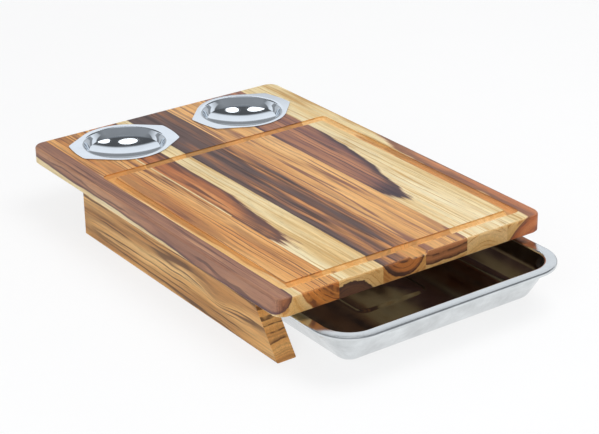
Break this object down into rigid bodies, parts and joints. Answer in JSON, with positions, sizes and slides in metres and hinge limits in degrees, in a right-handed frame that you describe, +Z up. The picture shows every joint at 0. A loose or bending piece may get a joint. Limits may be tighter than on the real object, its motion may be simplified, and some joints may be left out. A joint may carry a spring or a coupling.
{
  "type": "cutting board with drawer tray",
  "caption": "Wooden carving board on raked legs, with a juice groove and spout over a sliding steel tray beneath, and lift-out steel bowls let into the top.",
  "frame": {"origin": "centre of the footprint with the tray in its pictured place, at table level", "axes": "+X to the right as seen from the spout end, +Y from the spout end towards the bowls, +Z up"},
  "size_m": [0.3, 0.503, 0.069],
  "materials": {
    "teak_board": "oiled teak, edge-glued staves that run from cream sapwood to dark brown heartwood",
    "teak_legs": "oiled golden teak with dark lengthwise streaks",
    "beech_dowels": "plain turned beech",
    "tray_steel": "pressed stainless sheet, satin",
    "bowl_steel": "pressed stainless sheet, polished"
  },
  "bodies": {
    "board": {"stave_1": "teak_board", "stave_2": "teak_board", "stave_3": "teak_board", "stave_3_back": "teak_board", "stave_4": "teak_board", "stave_5": "teak_board", "stave_6": "teak_board", "stave_6_back": "teak_board", "stave_7": "teak_board", "left_leg": "teak_legs", "right_leg": "teak_legs", "left_dowel_1": "beech_dowels", "left_dowel_2": "beech_dowels", "left_dowel_3": "beech_dowels", "right_dowel_1": "beech_dowels", "right_dowel_2": "beech_dowels", "right_dowel_3": "beech_dowels"},
    "tray": {"tray": "tray_steel"},
    "left_bowl": {"left_bowl": "bowl_steel"},
    "right_bowl": {"right_bowl": "bowl_steel"}
  },
  "joints": [
    {"name": "tray_slide", "type": "slide", "parent": "board", "child": "tray", "axis": [0, -1, 0], "range_m": [-0.0885, 0.22]},
    {"name": "left_bowl_lift", "type": "slide", "parent": "board", "child": "left_bowl", "axis": [0, 0, 1], "range_m": [0, 0.04]},
    {"name": "right_bowl_lift", "type": "slide", "parent": "board", "child": "right_bowl", "axis": [0, 0, 1], "range_m": [0, 0.04]}
  ]
}
